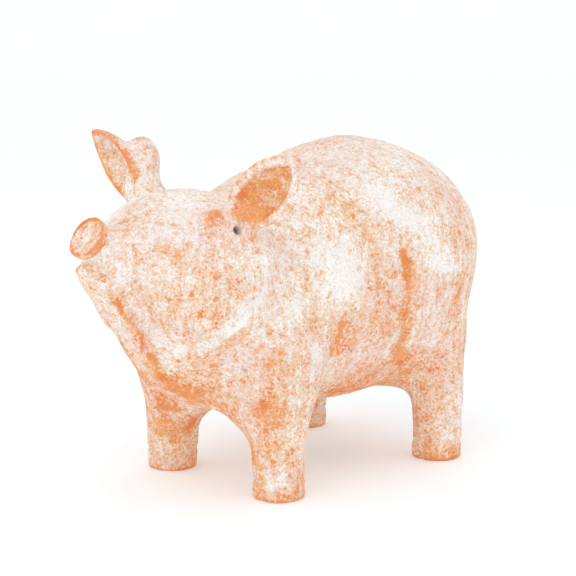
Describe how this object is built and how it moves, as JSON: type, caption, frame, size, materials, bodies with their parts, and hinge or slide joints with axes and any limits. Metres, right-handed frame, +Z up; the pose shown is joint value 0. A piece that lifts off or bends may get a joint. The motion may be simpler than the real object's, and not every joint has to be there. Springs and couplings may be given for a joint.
{
  "type": "piggy bank",
  "caption": "Hollow hand-built terracotta pig with a pale slip wash, a coin slot over the rump and a rubber stopper in the belly.",
  "frame": {"origin": "on the floor, at the middle of the pig's bounding box", "axes": "+Z up, the pig faces -Y, its left side is +X"},
  "size_m": [0.1714, 0.3086, 0.2099],
  "materials": {
    "clay": "matte, unglazed, with a brushed and sponged white slip wash",
    "stopper": "matte"
  },
  "bodies": {
    "pig": {"body_shell": "clay", "head_shell": "clay", "snout": "clay", "ear_left": "clay", "ear_right": "clay", "leg_front_left": "clay", "leg_front_right": "clay", "leg_rear_left": "clay", "leg_rear_right": "clay", "tail": "clay"},
    "stopper": {"stopper": "stopper"}
  },
  "joints": [
    {"name": "stopper_pull", "type": "slide", "parent": "pig", "child": "stopper", "axis": [0, 0, -1], "range_m": [0, 0.035]}
  ]
}
